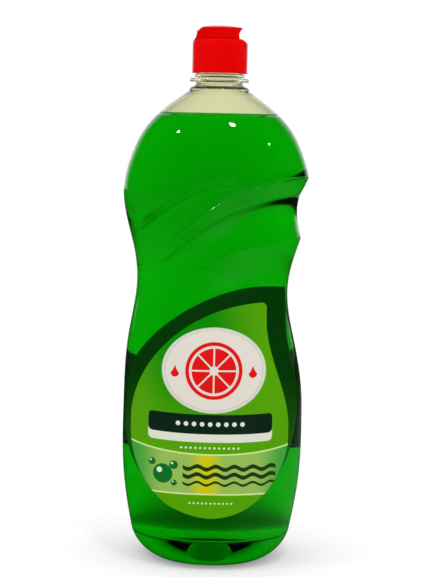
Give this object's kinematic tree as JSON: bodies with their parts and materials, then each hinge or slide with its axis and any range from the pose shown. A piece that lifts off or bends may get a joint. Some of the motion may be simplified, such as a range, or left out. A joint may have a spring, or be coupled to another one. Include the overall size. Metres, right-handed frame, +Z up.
{
  "type": "dish soap bottle",
  "caption": "Clear oval dish soap bottle with a hollowed finger grip, green liquid, printed front label and a red screw cap with a flip-top lid.",
  "frame": {"origin": "on the neck's axis, in the plane that the foot ring stands on", "axes": "+Z up along the neck's axis, the labelled front faces -Y, +X to the right of the front, where the finger scoop is"},
  "size_m": [0.103, 0.088, 0.2986],
  "materials": {
    "clear_bottle": "clear, smooth blow-moulded PET with a faint yellow tint",
    "green_liquid": "clear, deeply coloured green liquid",
    "label_film": "smooth printed film in lime, dark green, white and red",
    "back_label_film": "smooth printed film, plain",
    "gasket_foam": "white closed-cell foam",
    "red_cap": "glossy moulded polypropylene",
    "red_lid": "glossy moulded polypropylene"
  },
  "bodies": {
    "bottle": {"bottle": "clear_bottle", "liquid": "green_liquid", "front_label": "label_film", "back_label": "back_label_film"},
    "seal": {"sealing_ring": "gasket_foam"},
    "cap": {"cap_base": "red_cap"},
    "lid": {"cap_lid": "red_lid"}
  },
  "joints": [
    {"name": "cap_rise", "type": "slide", "parent": "bottle", "child": "seal", "axis": [0, 0, 1], "range_m": [0, 0.0191]},
    {"name": "cap_turn", "type": "hinge", "parent": "seal", "child": "cap", "pos_m": [0, 0, 0.28], "axis": [0, 0, 1], "range_deg": [0, 2160]},
    {"name": "lid_flip", "type": "hinge", "parent": "cap", "child": "lid", "pos_m": [-0.0134, 0, 0.2913], "axis": [0, -1, 0], "range_deg": [0, 120]}
  ],
  "couplings": [
    {"joint": "cap_rise", "follows": "cap_turn", "m_per_rad": 0.00050611}
  ]
}
